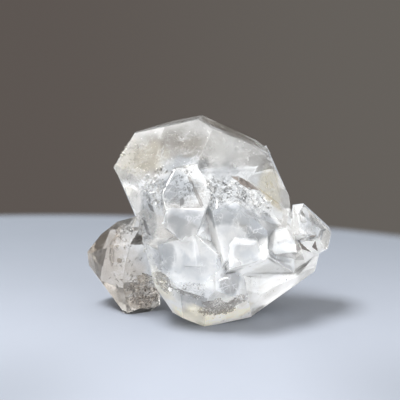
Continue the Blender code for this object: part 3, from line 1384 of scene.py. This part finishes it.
@dataclass
class Veins:
    """White ridges on the crystals' skin, partly white bruised quartz and partly painted highlights, and dark
    panes of painted shade and painted reflection just under it.
    """

    thickness: float = 0.10
    mesh_size: float = 0.55
    ragged: float = 0.11
    veins: tuple[Vein, ...] = (
        # Dark panes: painted shade in a recess, beside the gem and on the left strip, and painted dark
        # reflections on the far right crystal.
        Vein(Tone.SMOKY, ((5.1, -4, 36.2), (8.7, -3.2, 34.9), (12, -0.9, 32),
             (9.6, -4.8, 33), (7.2, -6, 34.6)), -0.02),
        Vein(Tone.SMOKY, ((-5.4, -11.2, 37.5), (-4.7, -11.7, 37.4), (-1.5, -15.3, 31.3),
             (-2.2, -15.6, 31.1))),
        Vein(Tone.SMOKY, ((-7, -14.4, 32.7), (-6.3, -14.3, 33.2), (-6, -15, 31.7),
             (-7.1, -15.1, 31.2))),
        Vein(Tone.SMOKY, ((21.2, -4.5, 20.7), (22.9, -2.6, 18.7), (25.2, -0.2, 16.3),
             (22.8, -1.6, 17.4)), -0.02),
        Vein(Tone.SMOKY, ((25.8, -2.9, 19.8), (26.9, 0, 16.5), (25.2, -1.5, 17.9)), -0.02),
        Vein(Tone.SMOKY, ((23.9, -4.2, 21.4), (26, -3.1, 21.3), (24.4, -3.7, 20.5)), -0.02),
        Vein(Tone.SMOKY, ((-14.8, -8.2, 30.2), (-13.8, -8.9, 29.9), (-13.3, -9.3, 28.5),
             (-14.3, -8.6, 28.8))),
        Vein(Tone.SMOKY, ((-16.3, -7.2, 26.5), (-15.3, -7.9, 25.7), (-14.3, -8.5, 22.4),
             (-15.3, -7.8, 23)), 0.3),
        # Painted highlights: white ridges on the bright lines along the gem's edges.
        Vein(Tone.WHITE, ((-8.5, -8.7, 38.7), (-8.2, -8.8, 38.7), (-11, -12.3, 33.5),
             (-11.2, -11.9, 33.4)), 0.02),
        Vein(Tone.WHITE, ((-11.2, -11.9, 33.4), (-11, -12.3, 33.5), (-9.8, -15.1, 30.4),
             (-10, -15.1, 30.2)), 0.02),
        Vein(Tone.WHITE, ((-3.4, -7.9, 39.6), (-3.2, -7.7, 39.5), (-1, -11.2, 35.1),
             (-1.2, -11.5, 35.2)), 0.02),
        Vein(Tone.WHITE, ((-11.4, -10.6, 26.1), (-10, -15.1, 29.9), (-9.8, -15.1, 29.8),
             (-11.2, -10.8, 26)), -0.02),
        Vein(Tone.WHITE, ((8.9, -8.9, 11.4), (11.7, -7.1, 9.3), (15.9, -3.3, 7.1),
             (12.7, -6.3, 8.1), (9.7, -8.3, 9.7)), 0.1),
        # Painted highlight: the cream glint on the right prism.
        Vein(Tone.WHITE, ((15, 3.1, 33.6), (15.8, 3.6, 32.7), (16.3, 3.8, 31.4),
             (15.2, 3, 32.1)), 0.1),
        Vein(Tone.WHITE, ((0.3, -14, 13.6), (3.2, -13.9, 13.9), (4.4, -13, 13.4),
             (3.3, -13.8, 13.4), (1.2, -14, 13.2)), 0),
        Vein(Tone.WHITE, ((1.5, -11.1, 31.8), (1.8, -11.5, 31.6), (1.5, -14.3, 29.9),
             (1.3, -13.8, 30.5)), 0),
    )

    def make_vein(self, vein: Vein, skin: BVHTree, number: int) -> Piece:
        """Lays one sheet on the body.

        Args:
            vein: the sheet.
            skin: the crystals' skin.
            number: its number, for its ragged outline.

        Returns:
            The sheet, as a thin closed plate.
        """
        deselect_all()
        bpy.ops.mesh.primitive_circle_add(vertices=len(vein.corners), radius=1.0 * MM, fill_type="NGON")
        sheet = bpy.context.object
        start_editing(sheet, "VERT")
        for index, corner in enumerate(vein.corners):
            bpy.ops.mesh.select_all(action="DESELECT")
            mesh = bmesh.from_edit_mesh(sheet.data)
            mesh.verts.ensure_lookup_table()
            vertex = mesh.verts[index]
            vertex.select_set(True)
            move = Vector(corner) * MM - vertex.co
            bmesh.update_edit_mesh(sheet.data)
            bpy.ops.transform.translate(value=move)
        cut_small(sheet, lambda place: self.mesh_size * MM, 6)
        bpy.ops.mesh.select_all(action="SELECT")
        bpy.ops.transform.vertex_random(offset=self.ragged * MM, seed=number)
        bpy.ops.object.mode_set(mode="OBJECT")
        for vertex in sheet.data.vertices:
            spot, normal, _, _ = skin.find_nearest(vertex.co)
            vertex.co = spot - normal * vein.depth * MM
        thicken = sheet.modifiers.new("thickness", "SOLIDIFY")
        thicken.thickness = self.thickness * MM
        thicken.offset = 0.0
        bpy.ops.object.modifier_apply(modifier="thickness")
        return sheet

    def build(self, body: Piece) -> list[Piece]:
        """Lays all the sheets, one piece for each kind.

        Args:
            body: the crystals.

        Returns:
            The pieces.
        """
        pieces = []
        skin = skin_of(body)
        for tone, name in ((Tone.SMOKY, "painted_shade_panes"), (Tone.WHITE, "white_ridges_and_painted_highlights")):
            parts = [self.make_vein(v, skin, i) for i, v in enumerate(self.veins) if v.tone is tone]
            pieces.append(join_pieces(parts, name, SEALED[tone].make()))
        return pieces


@dataclass(frozen=True)
class Zone:
    """A crackled region: where it is, how many flakes of each kind it holds and their size in millimetres."""

    patch: Patch
    air: int
    white: int
    carbon: int = 0
    size: tuple[float, float] = (0.4, 1.5)


@dataclass
class Crackle:
    """Hundreds of tiny flat cracks and flecks under the skin, which make it sparkle.

    A kind's row holds its tone, its piece's name, how far its flakes lean and how they are stretched.
    """

    thickness: float = 0.05
    least_depth: float = 0.12
    slack: float = 0.12 * MM
    spread: float = 1.1
    seed: int = 33
    shrink: tuple[float, float] = (0.5, 1.0)
    outlines: tuple[int, ...] = (5, 6, 7)
    rim_width: float = 0.18 * MM
    wear: float = 0.02 * MM
    slimness: tuple[float, float] = (0.12, 0.9)
    kinds: tuple[tuple[Tone, str, float, Point], ...] = (
        (Tone.AIR, "clear_flakes", 0.9, (1.0, 1.0, 1.0)),
        (Tone.WHITE, "white_flakes", 0.45, (1.0, 1.0, 1.0)),
        (Tone.CARBON, "dark_flecks", 0.6, (0.45, 0.6, 2.0)),
    )
    zones: tuple[Zone, ...] = (
        Zone(Patch((-9.5, -12, 34), (6, 5, 6)), 150, 105, 5),
        Zone(Patch((-2.3, -13.3, 34.3), (1.4, 2, 2.6)), 8, 50, 0, (0.6, 1.8)),
        Zone(Patch((4.5, -8, 33), (9, 5, 4)), 150, 180, 3),
        Zone(Patch((12, -5.5, 30), (5, 5, 3.5)), 50, 60, 1),
        Zone(Patch((-18.5, -4, 40), (4.5, 6, 6)), 70, 90, 0, (0.3, 1)),
        Zone(Patch((-14.5, -8.5, 26), (2.5, 4, 10)), 110, 45, 2, (0.4, 1.8)),
        Zone(Patch((-10.5, -11, 11), (4, 4, 7)), 70, 30, 4),
        Zone(Patch((-2, -11, 7.5), (9, 4, 4)), 170, 80, 14, (0.3, 1.3)),
        Zone(Patch((1, -9.5, 3.5), (8, 4, 3.5)), 120, 90, 10, (0.3, 1.2)),
        Zone(Patch((13, -8, 13), (7, 5, 5)), 40, 90, 0, (0.4, 1.8)),
        Zone(Patch((3, -15, 20), (6, 4, 7)), 40, 60, 1),
        Zone(Patch((-16.5, 0.5, 6.5), (4.5, 3, 5)), 130, 37, 4, (0.4, 1.6)),
        Zone(Patch((-22, 1.5, 19.5), (4.5, 4, 3.5)), 40, 37, 1),
        Zone(Patch((24, -2.5, 20.5), (4, 4, 4.5)), 16, 5, 1, (0.3, 1.1)),
        Zone(Patch((-22, 1.5, 12), (6, 4, 7)), 60, 12, 2, (0.5, 2)),
        Zone(Patch((16, -3, 7.5), (8, 5, 6)), 120, 40, 3, (0.4, 1.8)),
        Zone(Patch((14.5, 1.5, 30), (3.5, 3, 5)), 60, 45, 0, (0.4, 1.8)),
        Zone(Patch((-8, -3, 44), (11, 5, 5)), 30, 2, 2),
        Zone(Patch((5, -3, 40.5), (8, 4, 5)), 25, 2, 1),
        Zone(Patch((0, 13, 37), (9, 4, 7)), 60, 37, 1),
        Zone(Patch((7, 14.5, 24), (9, 4, 7)), 60, 37, 1),
        Zone(Patch((-16, 10, 27), (6, 5, 9)), 60, 37, 1),
        Zone(Patch((-4, 11, 13), (8, 4, 8)), 60, 45, 2),
        Zone(Patch((22, 9, 14), (5, 4, 6)), 40, 30, 1),
    )

    def make_flake(self, corners: int) -> Piece:
        """Models one flake: a flat, uneven plate a millimetre across.

        Args:
            corners: how many corners its outline has.

        Returns:
            The flake, on the origin.
        """
        deselect_all()
        bpy.ops.mesh.primitive_cylinder_add(vertices=corners, radius=0.5 * MM, depth=self.thickness * MM)
        flake = bpy.context.object
        start_editing(flake, "FACE")
        pick(flake, "faces", lambda face: face.normal.z > 0.9)
        bpy.ops.mesh.inset(thickness=self.rim_width, depth=self.thickness * MM)
        bpy.ops.mesh.select_all(action="SELECT")
        bpy.ops.transform.vertex_random(offset=self.wear, seed=corners)
        bpy.ops.object.mode_set(mode="OBJECT")
        return flake

    def place_flake(self, zone: Zone, skin: BVHTree, draw: random.Random, flat: float) -> Matrix | None:
        """Chooses a place under the skin.

        Args:
            zone: the region.
            skin: the crystals' skin.
            draw: the random numbers.
            flat: how far the flake may turn out of the skin's plane.

        Returns:
            The flake's placing, or nothing where there is no room.
        """
        start = zone.patch.any_place(draw)
        size = draw.uniform(*zone.size) * draw.uniform(*self.shrink)
        slim = draw.uniform(*self.slimness)
        lean = any_lean(draw, flat)
        sink = draw.random() ** 2
        spin = any_spin(draw)
        spot, normal, _, _ = skin.find_nearest(start)
        if zone.patch.share(spot, raggedness(spot)) <= 0.0:
            return None
        facing = (normal + lean).normalized()
        tilt = math.sqrt(max(0.0, 1.0 - facing.dot(normal) ** 2))
        depth = self.least_depth + 0.5 * size * tilt + sink * self.spread
        stretch = Matrix.Diagonal((size, size * slim, 1.0, 1.0))
        return Matrix.Translation(spot - normal * depth * MM) @ turn_to(facing) @ spin @ stretch

    def build(self, body: Piece) -> list[Piece]:
        """Scatters the flakes, one piece for each kind.

        Args:
            body: the crystals.

        Returns:
            The pieces.
        """
        draw = random.Random(self.seed)
        skin = skin_of(body)
        patterns = [self.make_flake(corners) for corners in self.outlines]
        pieces = []
        for tone, name, flat, shape in self.kinds:
            placings = []
            for zone in self.zones:
                for _ in range(getattr(zone, tone.value)):
                    placing = self.place_flake(zone, skin, draw, flat)
                    if placing is not None:
                        placings.append(placing)
            parts = []
            for placing in placings:
                pattern = draw.choice(patterns)
                if is_held(skin, placing, self.slack):
                    parts.append(copy_part(pattern, placing @ Matrix.Diagonal((*shape, 1.0))))
            pieces.append(join_pieces(parts, name, SEALED[tone].make()))
        for pattern in patterns:
            bpy.data.objects.remove(pattern)
        return pieces


@dataclass(frozen=True)
class Crust:
    """A crusted region: where it is, how many grains it holds and how large they are."""

    patch: Patch
    count: int
    scale: float = 1.0


@dataclass
class SugarGrains:
    """Small quartz grains that crust the broken patches and glitter."""

    seed: int = 55
    sunk: float = 0.40
    size: tuple[float, float] = (0.28, 0.72)
    shrink: tuple[float, float] = (0.6, 1.0)
    breadth: tuple[float, float] = (0.4, 1.0)
    length: tuple[float, float] = (0.6, 1.7)
    white_share: float = 0.6
    lean: float = 1.2
    crusts: tuple[Crust, ...] = (
        Crust(Patch((4.5, -8.5, 33), (8, 5, 3)), 270, 1.1),
        Crust(Patch((12, -6.5, 29), (4.5, 4, 3)), 90),
        Crust(Patch((-12.5, -8.5, 34.5), (3.5, 4, 4.5)), 130),
        Crust(Patch((-7.5, -9.5, 38.5), (4, 2.5, 1.8)), 70),
        Crust(Patch((-20, -3, 41.5), (3.5, 8, 6)), 150, 0.45),
        Crust(Patch((-10.5, -11.5, 12), (2, 3, 6)), 130),
        Crust(Patch((2, -11, 5), (6.5, 3.5, 3.6)), 190, 0.6),
        Crust(Patch((14, -3.5, 5.5), (6, 4, 3.5)), 130, 0.6),
        Crust(Patch((10, -8, 9.5), (4.5, 4, 3)), 90, 0.7),
        Crust(Patch((-3.5, -13.3, 10), (6, 3.5, 2.8)), 130, 0.6),
        Crust(Patch((-16.5, 1, 5.5), (4, 3, 3.5)), 80),
        Crust(Patch((-22, 1.5, 21), (2.5, 3, 2)), 24),
        Crust(Patch((3, -15, 17), (1.5, 3, 3.5)), 24),
        Crust(Patch((-3, 13.5, 30), (5, 4, 3)), 60),
        Crust(Patch((14, 13, 20), (4, 4, 4)), 50),
        Crust(Patch((-10, 10, 15), (3, 4, 4)), 40),
    )

    def build(self, pattern: Piece, body: Piece) -> list[Piece]:
        """Crusts the patches, partly with white grains and partly with clear ones.

        Args:
            pattern: one small quartz point, a millimetre across.
            body: the crystals.

        Returns:
            The pieces.
        """
        draw = random.Random(self.seed)
        skin = skin_of(body)
        grains = []
        for crust in self.crusts:
            patch = crust.patch
            for _ in range(crust.count):
                start = patch.any_place(draw)
                size = crust.scale * draw.uniform(*self.size) * draw.uniform(*self.shrink)
                lean = any_lean(draw, self.lean)
                spin = any_spin(draw)
                wide, deep = draw.uniform(*self.breadth), draw.uniform(*self.breadth)
                long = draw.uniform(*self.length)
                stretch = Matrix.Diagonal((size * wide, size * deep, size * long, 1.0))
                spot, normal, _, _ = skin.find_nearest(start)
                if patch.share(spot, raggedness(spot)) <= 0.0 or BARE_SPOT.share(spot) > 0.0:
                    continue
                root = Matrix.Translation(spot - normal * self.sunk * size * MM)
                if is_sealed(skin, root.translation):
                    grains.append(copy_part(pattern, root @ turn_to(normal + lean) @ spin @ stretch))
        bpy.data.objects.remove(pattern)
        whites = int(len(grains) * self.white_share)
        draw.shuffle(grains)
        pieces = []
        for part, name, clear_share, gloss in (
            (grains[:whites], "white grains", 0.25, 0.03), (grains[whites:], "clear grains", 0.92, 0.02)
        ):
            finish = QuartzFinish(name, clear_share, clear=WHITE, gloss=gloss, frost=0.0, mottle=0.1)
            pieces.append(join_pieces(part, name.replace(" ", "_"), finish.make()))
        return pieces


def main() -> None:
    """Builds the studio and the cluster, and reports each piece."""
    logging.basicConfig(level=logging.INFO, format="%(name)s: %(message)s")
    Studio().build()
    body = ClusterBody().build()
    pieces = [body, Cracks().build(), *Veins().build(body), *Crackle().build(body)]
    pieces += SugarGrains().build(ClusterBody().make_point(), body)
    for piece in pieces:
        LOG.info("%s: %d faces", piece.name, len(piece.data.polygons))


if __name__ == "__main__":
    main()
